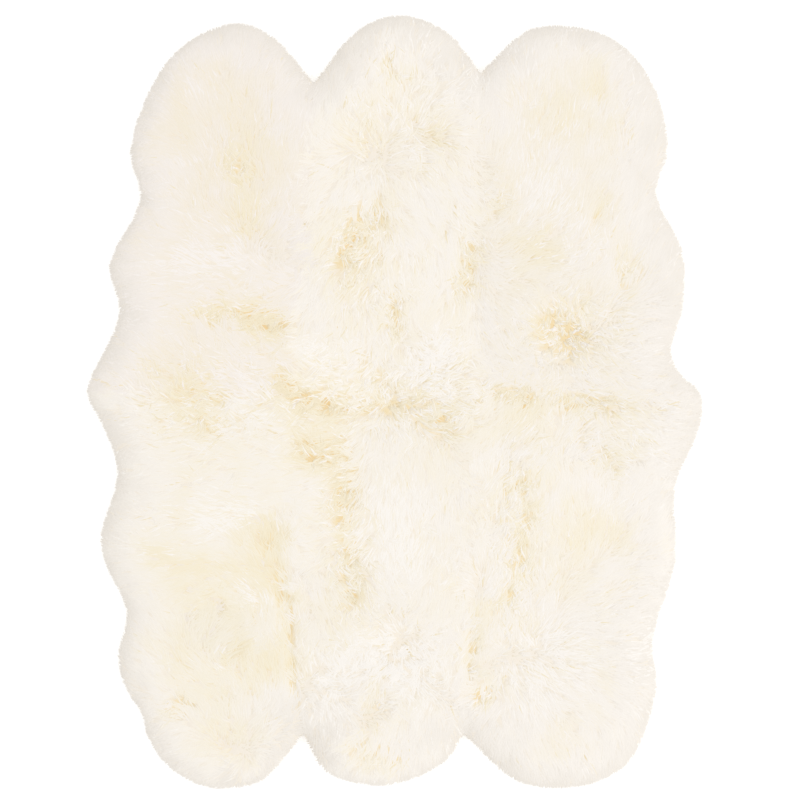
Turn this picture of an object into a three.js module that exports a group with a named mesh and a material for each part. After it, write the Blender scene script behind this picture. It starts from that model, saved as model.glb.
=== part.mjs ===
// A large sheepskin rug, sewn from six whole pelts in two rows of three, lying flat with its wool up.
// Millimetres. +Z is up and +Y points to the upper row. The origin lies under the middle of the rug.
import * as THREE from "three";

// Driving dimensions
const PILE = 57; // height of the standing wool
const EDGE = 6; // height of the last wool that lies over onto the floor
const RIM = 75; // how far in from the edge the pile reaches its full height
const SEAM_DIP = 8; // how far the wool sinks where two pelts are joined
const SEAM_SOFT = 45; // how far that hollow reaches to each side
const SWELL = 2.5; // slow rise and fall of the wool over a pelt
const SWELL_ACROSS = 430; // length of one such wave, across the rug
const SWELL_ALONG = 560; // and along it
const GAP = 0.4; // between the cut edges of two pelts

// Points on each curve between two rows of its table
const EDGE_STEPS = 3;
const SEAM_STEPS = 3;

// Rings of the wool's surface: the first ones keep to the rim, and the others go on towards the spine.
const RIM_RINGS = [7, 20, 42, 75];
const SPINE_RINGS = [0.45, 0.8];

// The four corners of the middle pelts, where the outline has its notches
const NOTCHES = {
  topLeft: { x: -194, y: 764 },
  topRight: { x: 204, y: 788 },
  bottomLeft: { x: -220, y: -798 },
  bottomRight: { x: 165, y: -798 },
};

// Where the cross seam ends, at the tips of the two largest bulges, and where it crosses the long seams
const CROSS_SEAM = [
  { at: "left tip", x: -738, y: 24 },
  { at: "left pelts", x: -480, y: 10 },
  { at: "left crossing", x: -220, y: 5 },
  { at: "middle pelts", x: -8, y: 2 },
  { at: "right crossing", x: 204, y: 5 },
  { at: "right pelts", x: 470, y: 4 },
  { at: "right tip", x: 738, y: -10 },
];

const LONG_SEAMS = {
  upperLeft: [
    NOTCHES.topLeft,
    { at: "neck", x: -204, y: 540 },
    { at: "back", x: -211, y: 316 },
    { at: "rump", x: -228, y: 149 },
    CROSS_SEAM[2],
  ],
  upperRight: [
    NOTCHES.topRight,
    { at: "neck", x: 194, y: 540 },
    { at: "back", x: 189, y: 292 },
    { at: "rump", x: 194, y: 140 },
    CROSS_SEAM[4],
  ],
  lowerLeft: [
    CROSS_SEAM[2],
    { at: "rump", x: -250, y: -163 },
    { at: "back", x: -284, y: -340 },
    { at: "shoulder", x: -264, y: -474 },
    { at: "neck", x: -240, y: -640 },
    NOTCHES.bottomLeft,
  ],
  lowerRight: [
    CROSS_SEAM[4],
    { at: "rump", x: 256, y: -150 },
    { at: "back", x: 236, y: -300 },
    { at: "shoulder", x: 188, y: -470 },
    { at: "neck", x: 174, y: -640 },
    NOTCHES.bottomRight,
  ],
};

// The outline, from notch to notch. Each row is a place on a pelt: round neck ends at the top and bottom,
// and down each side the legs stand out as bulges, with a hollow between one leg and the next.
const LEFT_SIDE = [
  NOTCHES.topLeft,
  { at: "neck", x: -288, y: 872 },
  { at: "neck end", x: -371, y: 906 },
  { at: "neck", x: -467, y: 879 },
  { at: "neck", x: -558, y: 798 },
  { at: "shoulder", x: -635, y: 599 },
  { at: "hollow", x: -609, y: 484 },
  { at: "foreleg", x: -685, y: 328 },
  { at: "hollow", x: -659, y: 218 },
  { at: "hind leg", x: -692, y: 129 },
  CROSS_SEAM[0],
  { at: "hind leg", x: -695, y: -67 },
  { at: "hollow", x: -664, y: -173 },
  { at: "foreleg", x: -704, y: -314 },
  { at: "foreleg", x: -696, y: -383 },
  { at: "hollow", x: -642, y: -503 },
  { at: "shoulder", x: -664, y: -611 },
  { at: "shoulder", x: -641, y: -695 },
  { at: "hollow", x: -607, y: -745 },
  { at: "neck", x: -592, y: -803 },
  { at: "neck", x: -550, y: -866 },
  { at: "neck", x: -480, y: -913 },
  { at: "neck end", x: -405, y: -927 },
  { at: "neck", x: -314, y: -906 },
  NOTCHES.bottomLeft,
];

const RIGHT_SIDE = [
  NOTCHES.topRight,
  { at: "neck", x: 314, y: 889 },
  { at: "neck end", x: 419, y: 899 },
  { at: "neck", x: 520, y: 870 },
  { at: "neck", x: 590, y: 805 },
  { at: "neck", x: 633, y: 724 },
  { at: "shoulder", x: 654, y: 592 },
  { at: "hollow", x: 625, y: 496 },
  { at: "foreleg", x: 688, y: 364 },
  { at: "foreleg", x: 690, y: 223 },
  { at: "hollow", x: 661, y: 120 },
  { at: "hind leg", x: 683, y: 68 },
  { at: "hind leg", x: 722, y: 34 },
  CROSS_SEAM[6],
  { at: "hind leg", x: 719, y: -91 },
  { at: "hollow", x: 671, y: -200 },
  { at: "foreleg", x: 673, y: -379 },
  { at: "hollow", x: 616, y: -575 },
  { at: "shoulder", x: 628, y: -678 },
  { at: "neck", x: 573, y: -846 },
  { at: "neck", x: 503, y: -903 },
  { at: "neck end", x: 403, y: -925 },
  { at: "neck", x: 288, y: -908 },
  NOTCHES.bottomRight,
];

const TOP_MIDDLE = [
  NOTCHES.topLeft,
  { at: "neck", x: -115, y: 867 },
  { at: "neck", x: -48, y: 913 },
  { at: "neck end", x: 14, y: 925 },
  { at: "neck", x: 84, y: 908 },
  { at: "neck", x: 146, y: 867 },
  NOTCHES.topRight,
];

const BOTTOM_MIDDLE = [
  NOTCHES.bottomLeft,
  { at: "neck", x: -168, y: -885 },
  { at: "neck end", x: -48, y: -920 },
  { at: "neck", x: 36, y: -906 },
  { at: "neck", x: 125, y: -858 },
  NOTCHES.bottomRight,
];

// One smooth line through the rows of a table, as points; the rows themselves are kept.
function smoothLine(rows, steps) {
  const curve = new THREE.CatmullRomCurve3(
    rows.map((row) => new THREE.Vector3(row.x, row.y, 0)),
    false,
    "centripetal",
  );
  return curve
    .getPoints((rows.length - 1) * steps)
    .map((point) => new THREE.Vector2(point.x, point.y));
}

const reversed = (line) => [...line].reverse();

const edges = {
  left: smoothLine(LEFT_SIDE, EDGE_STEPS),
  right: smoothLine(RIGHT_SIDE, EDGE_STEPS),
  top: smoothLine(TOP_MIDDLE, EDGE_STEPS),
  bottom: smoothLine(BOTTOM_MIDDLE, EDGE_STEPS),
};
const crossSeam = smoothLine(CROSS_SEAM, SEAM_STEPS);
const longSeams = Object.fromEntries(
  Object.entries(LONG_SEAMS).map(([name, rows]) => [
    name,
    smoothLine(rows, SEAM_STEPS),
  ]),
);
const allEdges = Object.values(edges);
const allSeams = [crossSeam, ...Object.values(longSeams)];

// The sides are parted at their tips, and the cross seam at its two crossings.
const leftTip = LEFT_SIDE.indexOf(CROSS_SEAM[0]) * EDGE_STEPS;
const rightTip = RIGHT_SIDE.indexOf(CROSS_SEAM[6]) * EDGE_STEPS;
const leftCrossing = 2 * SEAM_STEPS;
const rightCrossing = 4 * SEAM_STEPS;
const upperLeftEdge = edges.left.slice(0, leftTip + 1);
const lowerLeftEdge = edges.left.slice(leftTip);
const upperRightEdge = edges.right.slice(0, rightTip + 1);
const lowerRightEdge = edges.right.slice(rightTip);
const leftAcross = crossSeam.slice(0, leftCrossing + 1);
const middleAcross = crossSeam.slice(leftCrossing, rightCrossing + 1);
const rightAcross = crossSeam.slice(rightCrossing);

// Each pelt's lines go round it anticlockwise. Its spine is the line along its back, its column is counted
// from the middle one to the right, and its row is 1 for the upper row and -1 for the lower.
const PELTS = [
  {
    name: "pelt_upper_left",
    column: -1,
    row: 1,
    lines: [upperLeftEdge, leftAcross, reversed(longSeams.upperLeft)],
    spine: { x: -430, from: 110, to: 700 },
  },
  {
    name: "pelt_upper_middle",
    column: 0,
    row: 1,
    lines: [
      reversed(edges.top),
      longSeams.upperLeft,
      middleAcross,
      reversed(longSeams.upperRight),
    ],
    spine: { x: -5, from: 110, to: 760 },
  },
  {
    name: "pelt_upper_right",
    column: 1,
    row: 1,
    lines: [longSeams.upperRight, rightAcross, reversed(upperRightEdge)],
    spine: { x: 430, from: 110, to: 700 },
  },
  {
    name: "pelt_lower_left",
    column: -1,
    row: -1,
    lines: [lowerLeftEdge, reversed(longSeams.lowerLeft), reversed(leftAcross)],
    spine: { x: -450, from: -720, to: -110 },
  },
  {
    name: "pelt_lower_middle",
    column: 0,
    row: -1,
    lines: [
      longSeams.lowerLeft,
      edges.bottom,
      reversed(longSeams.lowerRight),
      reversed(middleAcross),
    ],
    spine: { x: -25, from: -740, to: -110 },
  },
  {
    name: "pelt_lower_right",
    column: 1,
    row: -1,
    lines: [longSeams.lowerRight, reversed(lowerRightEdge), reversed(rightAcross)],
    spine: { x: 420, from: -720, to: -110 },
  },
];

// How far a point lies from the nearest of some lines
function distanceTo(lines, point) {
  const target = new THREE.Vector3(point.x, point.y, 0);
  const closest = new THREE.Vector3();
  const piece = new THREE.Line3();
  let nearest = Infinity;
  for (const line of lines)
    for (let i = 1; i < line.length; i++) {
      piece.start.set(line[i - 1].x, line[i - 1].y, 0);
      piece.end.set(line[i].x, line[i].y, 0);
      piece.closestPointToPoint(target, true, closest);
      nearest = Math.min(nearest, closest.distanceTo(target));
    }
  return nearest;
}

// The wool's height at a point: a quarter-round rim, a soft hollow over each seam, and a slow swell.
function woolHeight(point) {
  const inFromEdge = Math.min(distanceTo(allEdges, point), RIM);
  const rise = Math.sqrt(1 - (1 - inFromEdge / RIM) ** 2);
  const nearSeam = Math.max(0, 1 - distanceTo(allSeams, point) / SEAM_SOFT);
  const swell =
    SWELL *
    Math.sin((2 * Math.PI * point.x) / SWELL_ACROSS) *
    Math.cos((2 * Math.PI * point.y) / SWELL_ALONG);
  return EDGE + (PILE - EDGE - SEAM_DIP * nearSeam ** 2 + swell) * rise;
}

// Joins a pelt's lines into one ring. Each line starts where the one before it ends.
function outlineOf(pelt) {
  return pelt.lines.flatMap((line) => line.slice(0, -1));
}

// The point on a pelt's back that a point of its outline faces
function onSpine(spine, point) {
  return new THREE.Vector2(
    spine.x,
    THREE.MathUtils.clamp(point.y, spine.from, spine.to),
  );
}

// A closed solid: flat underneath, upright at the edge, and its top rings climb to the back.
function peltGeometry(pelt) {
  const outline = outlineOf(pelt);
  const count = outline.length;
  const top = [outline];
  const inward = outline.map((point) => onSpine(pelt.spine, point).sub(point));
  for (const inset of RIM_RINGS)
    top.push(
      outline.map((point, i) =>
        point.clone().addScaledVector(inward[i].clone().normalize(), inset),
      ),
    );
  const lastRim = top.at(-1);
  for (const share of SPINE_RINGS)
    top.push(
      lastRim.map((point) =>
        point.clone().lerp(onSpine(pelt.spine, point), share),
      ),
    );

  const positions = outline.flatMap((point) => [point.x, point.y, 0]);
  for (const ring of top)
    for (const point of ring) positions.push(point.x, point.y, woolHeight(point));

  const faces = [];
  for (let ring = 0; ring < top.length; ring++)
    for (let i = 0; i < count; i++) {
      const a = ring * count + i;
      const b = ring * count + ((i + 1) % count);
      faces.push(a, b, b + count, a, b + count, a + count);
    }
  for (const [a, b, c] of THREE.ShapeUtils.triangulateShape(outline, []))
    faces.push(a, c, b);
  const crown = top.length * count;
  for (const corners of THREE.ShapeUtils.triangulateShape(top.at(-1), []))
    faces.push(...corners.map((corner) => crown + corner));

  const geometry = new THREE.BufferGeometry();
  geometry.setAttribute("position", new THREE.Float32BufferAttribute(positions, 3));
  geometry.setIndex(faces);
  geometry.computeVertexNormals();
  return geometry;
}

function woolMaterial() {
  return new THREE.MeshStandardMaterial({
    color: 0xf7efdf,
    roughness: 0.95,
    metalness: 0,
  });
}

const rug = new THREE.Group();
for (const pelt of PELTS) {
  const mesh = new THREE.Mesh(peltGeometry(pelt), woolMaterial());
  mesh.name = pelt.name;
  mesh.position.set(pelt.column * GAP, (pelt.row * GAP) / 2, 0);
  rug.add(mesh);
}

// The smooth lines swing a little past their rows, so the whole is centred on its own box.
const middle = new THREE.Box3().setFromObject(rug).getCenter(new THREE.Vector3());
rug.position.set(-middle.x, -middle.y, 0);

export default rug;
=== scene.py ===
import math
from collections import namedtuple

import bpy
import numpy as np
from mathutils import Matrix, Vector
from mathutils.geometry import delaunay_2d_cdt


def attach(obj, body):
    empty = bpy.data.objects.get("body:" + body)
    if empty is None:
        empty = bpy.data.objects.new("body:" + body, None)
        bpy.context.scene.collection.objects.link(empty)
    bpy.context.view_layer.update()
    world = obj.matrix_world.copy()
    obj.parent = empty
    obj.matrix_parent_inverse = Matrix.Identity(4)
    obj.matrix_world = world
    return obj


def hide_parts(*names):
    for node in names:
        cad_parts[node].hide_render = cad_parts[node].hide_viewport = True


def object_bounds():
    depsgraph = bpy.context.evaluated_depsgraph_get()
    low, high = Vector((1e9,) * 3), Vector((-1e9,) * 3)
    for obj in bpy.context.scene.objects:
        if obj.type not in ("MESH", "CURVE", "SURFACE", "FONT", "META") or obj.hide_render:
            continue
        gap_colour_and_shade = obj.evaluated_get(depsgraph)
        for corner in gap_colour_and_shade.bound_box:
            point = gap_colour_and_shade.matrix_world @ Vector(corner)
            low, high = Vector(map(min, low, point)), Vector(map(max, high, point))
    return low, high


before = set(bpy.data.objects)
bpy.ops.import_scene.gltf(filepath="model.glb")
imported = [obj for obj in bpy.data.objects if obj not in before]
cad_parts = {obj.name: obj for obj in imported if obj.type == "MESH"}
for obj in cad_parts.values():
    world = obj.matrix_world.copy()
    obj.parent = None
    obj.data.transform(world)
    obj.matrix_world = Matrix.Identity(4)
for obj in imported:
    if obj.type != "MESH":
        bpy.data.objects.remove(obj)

bpy.ops.object.select_all(action="DESELECT")
scene = bpy.context.scene
cad_low, cad_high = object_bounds()


# ---- Camera ---------------------------------------------------------------------------------------
# It hangs straight above the rug and looks down, far enough away that the pile hardly leans outward.
# The rug's length fills nearly the whole height of the view.

LENS_MM = 85.0
SENSOR_MM = 36.0
VIEW_SIZE = 1.917          # metres of floor that the view takes in, each way
LOOKS_AT = (0.012, 0.005)

camera_data = bpy.data.cameras.new("camera")
camera_data.lens = LENS_MM
camera_data.sensor_width = SENSOR_MM
camera = bpy.data.objects.new("camera", camera_data)
camera.location = (*LOOKS_AT, VIEW_SIZE * LENS_MM / SENSOR_MM)
scene.collection.objects.link(camera)
scene.camera = camera


# ---- Skins ----------------------------------------------------------------------------------------
# Six tanned pelts, suede side down, cut to lines where they join and left in their own shape
# elsewhere. Each is soft leather 2 mm thick, and ends inside the tips of the wool that grows on it.

PELTS = (
    "pelt_upper_left", "pelt_upper_middle", "pelt_upper_right",
    "pelt_lower_left", "pelt_lower_middle", "pelt_lower_right",
)
SKIN_BOTTOM = 0.0006       # the seam's thread lies under the skin
SKIN_TOP = 0.0026
SKIN_INSET = 0.028         # from the wool's outline to the skin's own edge
SKIN_GRID = 0.030          # between the points that fill a skin
SKIN_EDGE_GRID = SKIN_GRID / 6          # and those along its edge, at least
ON_FLOOR = 1e-5            # the underside's points lie no higher than this
SEWN_CLOSE = 0.38          # how much of the cut the stitches draw up, from each side
SAME_CUT = 0.0015          # outlines nearer than this are the two sides of one seam
INSET_STEPS = 6            # in which a point of the outline is drawn in
ROWS_STRAY = (-0.3, 0.3)   # how far filling points stray from their rows, in spacings
ROWS_CLEAR = 0.45          # how far they stay from the outline, in spacings
INNER_TRIANGLES = 1        # the kind of filling that stays inside its line
SAME_POINT = 1e-7          # a filling's points nearer than this are one
MAP_STEP = 0.004           # between two places on a map of the rug
MAP_MARGIN = 0.05          # how far past the rug the maps reach
SUEDE = (0.72, 0.62, 0.47)
SUEDE_PALE = (0.83, 0.75, 0.61)


def outline_of(node):
    """The line round a pelt's flat underside, anticlockwise from above, as points in metres."""
    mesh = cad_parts[node].data
    edges = set()
    for face in mesh.polygons:
        corners = [mesh.vertices[i].co for i in reversed(face.vertices)]
        if max(corner.z for corner in corners) > ON_FLOOR:
            continue
        places = [(round(corner.x, 5), round(corner.y, 5)) for corner in corners]
        for start, end in zip(places, places[1:] + places[:1]):
            if (end, start) in edges:
                edges.remove((end, start))
            else:
                edges.add((start, end))
    follows = dict(edges)
    line = [min(follows)]
    while follows[line[-1]] != line[0]:
        line.append(follows[line[-1]])
    return np.array(line)


def stretches_of(line):
    """The straight stretches of a closed line, each as its two ends."""
    return list(zip(line, np.roll(line, -1, 0)))


outlines = {pelt: outline_of(pelt) for pelt in PELTS}


def on_seam(pelt):
    """Which points of a pelt's outline another pelt's outline meets, and the points they meet."""
    others = np.concatenate([outlines[other] for other in PELTS if other != pelt])
    apart = np.linalg.norm(outlines[pelt][:, None] - others[None], axis=2)
    return apart.min(axis=1) < SAME_CUT, others[apart.argmin(axis=1)]


seams, free_edges = [], []
for pelt in PELTS:
    line, joined = outlines[pelt], on_seam(pelt)[0]
    for stretch, sewn in zip(stretches_of(line), joined & np.roll(joined, -1)):
        (seams if sewn else free_edges).append(stretch)


def distance_to(stretches, points):
    """How far points lie from the nearest of some straight stretches."""
    nearest = np.full(len(points), np.inf)
    for start, end in stretches:
        along = end - start
        share = np.clip((points - start) @ along / (along @ along), 0, 1)
        nearest = np.minimum(nearest, np.hypot(*(points - start - share[:, None] * along).T))
    return nearest


def inside(line, points):
    """Which points lie inside a closed line."""
    found = np.zeros(len(points), bool)
    x, y = points.T
    for (x0, y0), (x1, y1) in stretches_of(line):
        crosses = (y0 > y) != (y1 > y)
        rise = y1 - y0 if y1 != y0 else 1.0
        found ^= crosses & (x < x0 + (x1 - x0) * (y - y0) / rise)
    return found


# A plan of the rug as maps on a square lattice: how deep each place lies inside the edge, and the
# straightest way out.
map_corner = np.array(cad_low[:2]) - MAP_MARGIN
map_size = ((np.array(cad_high[:2]) + MAP_MARGIN - map_corner) / MAP_STEP).astype(int) + 1
lattice = map_corner + MAP_STEP * np.stack(np.indices(map_size), -1).reshape(-1, 2)
from_seam = distance_to(seams, lattice)
on_rug = np.any([inside(line, lattice) for line in outlines.values()], axis=0)
on_rug |= from_seam < SAME_CUT
edge_map = (distance_to(free_edges, lattice) * np.where(on_rug, 1, -1)).reshape(map_size)
seam_map = from_seam.reshape(map_size)
outward_map = -np.stack(np.gradient(edge_map, MAP_STEP), -1)


def between(values, i, j, across, along):
    """A value within a square of a lattice, at these shares of the way across and along it."""
    near = values[i, j] * (1 - across) + values[i + 1, j] * across
    far = values[i, j + 1] * (1 - across) + values[i + 1, j + 1] * across
    return near * (1 - along) + far * along


def read(values, points):
    """What a map says at some points, between its four nearest places."""
    place = (points - map_corner) / MAP_STEP
    cell = np.clip(place.astype(int), 0, map_size - 2)
    across, along = np.clip(place - cell, 0, 1).T
    if values.ndim == 3:
        across, along = across[:, None], along[:, None]
    return between(values, *cell.T, across, along)


def inset_outline(pelt, inset, closest):
    """A pelt's outline, drawn in from the rug's edge, and up to the next pelt along its seams."""
    line = []
    for point, sewn, met in zip(outlines[pelt], *on_seam(pelt)):
        point = point[None]
        if sewn and read(edge_map, point)[0] >= inset:
            line.append(point[0] + (met - point[0]) * SEWN_CLOSE)
            continue
        for _ in range(INSET_STEPS):
            point = point - read(outward_map, point) * (inset - read(edge_map, point))[:, None]
        if not line or np.linalg.norm(point[0] - line[-1]) > closest:
            line.append(point[0])
    return np.array(line)


def loose_rows(line, spacing, stray, rng):
    """Points inside a closed line, in rows that each point strays from by shares of the spacing."""
    rows = [np.arange(a, b, spacing) for a, b in zip(line.min(0), line.max(0))]
    points = np.stack(np.meshgrid(*rows), -1).reshape(-1, 2)
    points = points + rng.uniform(*stray, points.shape) * spacing
    return points[inside(line, points)]


def filled(line, spacing, rng):
    """Triangles that fill a closed line, with loose rows of points inside it."""
    points = loose_rows(line, spacing, ROWS_STRAY, rng)
    points = points[distance_to(stretches_of(line), points) > ROWS_CLEAR * spacing]
    every = np.concatenate([line, points])
    ring = list(range(len(line)))
    made = delaunay_2d_cdt([tuple(p) for p in every], [], [ring], INNER_TRIANGLES, SAME_POINT)
    return np.array(made[0]), np.array(made[2])


def as_piece(mesh):
    """A mesh as a piece of its own, by the same name."""
    piece = bpy.data.objects.new(mesh.name, mesh)
    scene.collection.objects.link(piece)
    return piece


def closed_sheet(name, plan, faces, rim, bottom, top):
    """A closed solid between two heights over one plan: its rim is the first points, in order."""
    mesh = bpy.data.meshes.new(name)
    count = len(plan)
    low = np.column_stack([plan, bottom])
    high = np.column_stack([plan, top])
    walls = []
    for a in range(rim):
        b = (a + 1) % rim
        walls += [(a, b, b + count), (a, b + count, a + count)]
    mesh.from_pydata(
        np.concatenate([low, high]).tolist(),
        [],
        faces[:, ::-1].tolist() + (faces + count).tolist() + walls,
    )
    mesh.update()
    return as_piece(mesh)


def rough_material(name, roughness, shine):
    """A material with its roughness and shine, and the shader that its colour goes to."""
    material = bpy.data.materials.new(name)
    material.use_nodes = True
    principled = material.node_tree.nodes["Principled BSDF"]
    principled.inputs["Roughness"].default_value = roughness
    principled.inputs["Specular IOR Level"].default_value = shine
    return material, principled


def add_node(material, kind, **settings):
    """A shader node, with its settings and the values of its sockets."""
    node = material.node_tree.nodes.new(kind)
    for name, value in settings.items():
        if name in node.inputs:
            node.inputs[name].default_value = value
        else:
            setattr(node, name, value)
    return node


def link(source, output, target, entry):
    """A link from a node's output to an input of another node."""
    source.id_data.links.new(source.outputs[output], target.inputs[entry])


def add_ramp(material, steps):
    """A ramp through some steps, each of them a place from 0 to 1 and a colour."""
    ramp = add_node(material, "ShaderNodeValToRGB")
    for place, _ in steps[1:-1]:
        ramp.color_ramp.elements.new(place)
    for element, (place, colour) in zip(ramp.color_ramp.elements, steps):
        element.position = place
        element.color = (*colour, 1)
    return ramp


def nap_group():
    """A fine uneven nap on the surface, with its height as a mask and the normal that it makes."""
    group = bpy.data.node_groups.new("nap", "ShaderNodeTree")
    for name, kind in (("Scale", "NodeSocketFloat"), ("Depth", "NodeSocketFloat")):
        group.interface.new_socket(name, in_out="INPUT", socket_type=kind)
    for name, kind in (("Mask", "NodeSocketFloat"), ("Normal", "NodeSocketVector")):
        group.interface.new_socket(name, in_out="OUTPUT", socket_type=kind)
    given = group.nodes.new("NodeGroupInput")
    made = group.nodes.new("NodeGroupOutput")
    places = group.nodes.new("ShaderNodeTexCoord")
    lumps = group.nodes.new("ShaderNodeTexNoise")
    lumps.inputs["Detail"].default_value = 3.0
    lumps.inputs["Roughness"].default_value = 0.65
    bump = group.nodes.new("ShaderNodeBump")
    bump.inputs["Strength"].default_value = 0.5
    link(places, "Object", lumps, "Vector")
    link(given, "Scale", lumps, "Scale")
    link(given, "Depth", bump, "Distance")
    link(lumps, "Fac", bump, "Height")
    link(lumps, "Fac", made, "Mask")
    link(bump, "Normal", made, "Normal")
    return group


nap = nap_group()


def suede_material():
    """Brushed suede in soft blotches of two shades."""
    material, principled = rough_material("suede", roughness=0.95, shine=0.2)
    places = add_node(material, "ShaderNodeTexCoord")
    blotches = add_node(material, "ShaderNodeTexNoise", Scale=14.0, Detail=5.0, Roughness=0.6)
    brushed = add_node(material, "ShaderNodeGroup", node_tree=nap, Scale=900.0, Depth=0.0006)
    shades = add_ramp(material, [(0.3, SUEDE), (0.7, SUEDE_PALE)])
    link(places, "Object", blotches, "Vector")
    link(blotches, "Fac", shades, "Fac")
    link(shades, "Color", principled, "Base Color")
    link(brushed, "Normal", principled, "Normal")
    return material


suede = suede_material()
skins = {}
for number, pelt in enumerate(PELTS):
    line = inset_outline(pelt, SKIN_INSET, SKIN_EDGE_GRID)
    plan, faces = filled(line, SKIN_GRID, np.random.default_rng(number))
    skin = closed_sheet(
        pelt.replace("pelt", "skin"), plan, faces, len(line),
        np.full(len(plan), SKIN_BOTTOM), np.full(len(plan), SKIN_TOP),
    )
    skin.data.materials.append(suede)
    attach(skin, "root")
    skins[pelt] = skin


# ---- Stitches -------------------------------------------------------------------------------------
# Off-white thread oversews the skins' joins from below: short slanting bars drawn a little way into
# the suede.

STITCH_SPACING = 0.006
STITCH_LENGTH = 0.0065
STITCH_WIDE = 0.0009
STITCH_DEEP = 0.00042      # half its height
STITCH_FULL = 0.7          # share of its length between the tapering ends
STITCH_MIDDLE = 0.0005     # its height above the floor
STITCH_SLANT = math.radians(65)
STITCH_SIDES = 6
THREAD = (0.86, 0.82, 0.72)


def stitch_places():
    """The middle and heading of each stitch, evenly along the joins."""
    middles, headings = [], []
    for pelt in PELTS:
        line = outlines[pelt]
        joined, met = on_seam(pelt)
        near = (line + met) / 2
        for a in range(len(line)):
            b = (a + 1) % len(line)
            if not (joined[a] and joined[b]):
                continue
            step = near[b] - near[a]
            count = max(1, round(np.hypot(*step) / STITCH_SPACING))
            for part in (np.arange(count) + 0.5) / count:
                middle = near[a] + step * part
                others = np.array(middles).reshape(-1, 2)
                if np.any(np.hypot(*(others - middle).T) < STITCH_SPACING / 2):
                    continue
                if read(edge_map, middle[None])[0] > SKIN_INSET + STITCH_SPACING / 2:
                    middles.append(middle)
                    headings.append(math.atan2(step[1], step[0]) + STITCH_SLANT)
    return np.array(middles), np.array(headings)


def stitches():
    """Every stitch as a closed bar that tapers at both ends, in one mesh."""
    middles, headings = stitch_places()
    turns = 2 * np.pi * np.arange(STITCH_SIDES) / STITCH_SIDES
    ring = np.column_stack([np.cos(turns) * STITCH_WIDE / 2, np.sin(turns) * STITCH_DEEP])
    half = STITCH_LENGTH / 2
    bar = [(-half, 0, 0)]
    for along in (-STITCH_FULL * half, STITCH_FULL * half):
        bar += [(along, across, height) for across, height in ring]
    bar = np.array(bar + [(half, 0, 0)])
    last = len(bar) - 1
    faces = []
    for a in range(STITCH_SIDES):
        b = (a + 1) % STITCH_SIDES
        c, d = 1 + STITCH_SIDES + a, 1 + STITCH_SIDES + b
        faces += [(0, 1 + b, 1 + a), (1 + a, 1 + b, d), (1 + a, d, c), (last, c, d)]
    cos, sin = np.cos(headings)[:, None], np.sin(headings)[:, None]
    x = middles[:, :1] + bar[:, 0] * cos - bar[:, 1] * sin
    y = middles[:, 1:] + bar[:, 0] * sin + bar[:, 1] * cos
    z = np.broadcast_to(STITCH_MIDDLE + bar[:, 2], x.shape)
    every = np.arange(len(middles))[:, None, None] * len(bar) + np.array(faces)
    mesh = bpy.data.meshes.new("stitches")
    mesh.from_pydata(np.stack([x, y, z], -1).reshape(-1, 3).tolist(), [], every.reshape(-1, 3).tolist())
    mesh.update()
    return as_piece(mesh)


thread, thread_shader = rough_material("thread", roughness=0.85, shine=0.5)
thread_shader.inputs["Base Color"].default_value = (*THREAD, 1)
twist = add_node(thread, "ShaderNodeGroup", node_tree=nap, Scale=1600.0, Depth=0.0002)
link(twist, "Normal", thread_shader, "Normal")

sewing = stitches()
sewing.data.materials.append(thread)
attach(sewing, "root")


# ---- How the wool lies ----------------------------------------------------------------------------
# Each pelt's wool was brushed once and has been walked on since. It lies out over the edge all round,
# and inside it turns with the strokes below; some places are ruffled, or parted down to creamier wool.

PILE = 0.057               # the wool's height, away from the edge
EDGE = 0.006               # its height at the very edge
RIM = 0.095                # how far in from the edge it reaches its full height
SEAM_DIP = 0.002           # how much lower it lies over a seam
SEAM_SOFT = 0.045          # how far to each side of the seam the dip goes
SWELL = 0.0018             # how far it swells up and down over the whole rug
SWELL_ACROSS = 0.430       # from one swell to the next, each way
SWELL_ALONG = 0.560
PARTING_DEPTH = 0.006      # how much lower the deepest places lie
RIM_COMBED = 0.050         # how far in from the edge the wool still turns outward
STROKE_REACH = 0.055       # how far round its middle a stroke tells
MM = 1000                  # in a metre
TINY = 1e-9                # keeps a sum that is divided by from being nought

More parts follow.
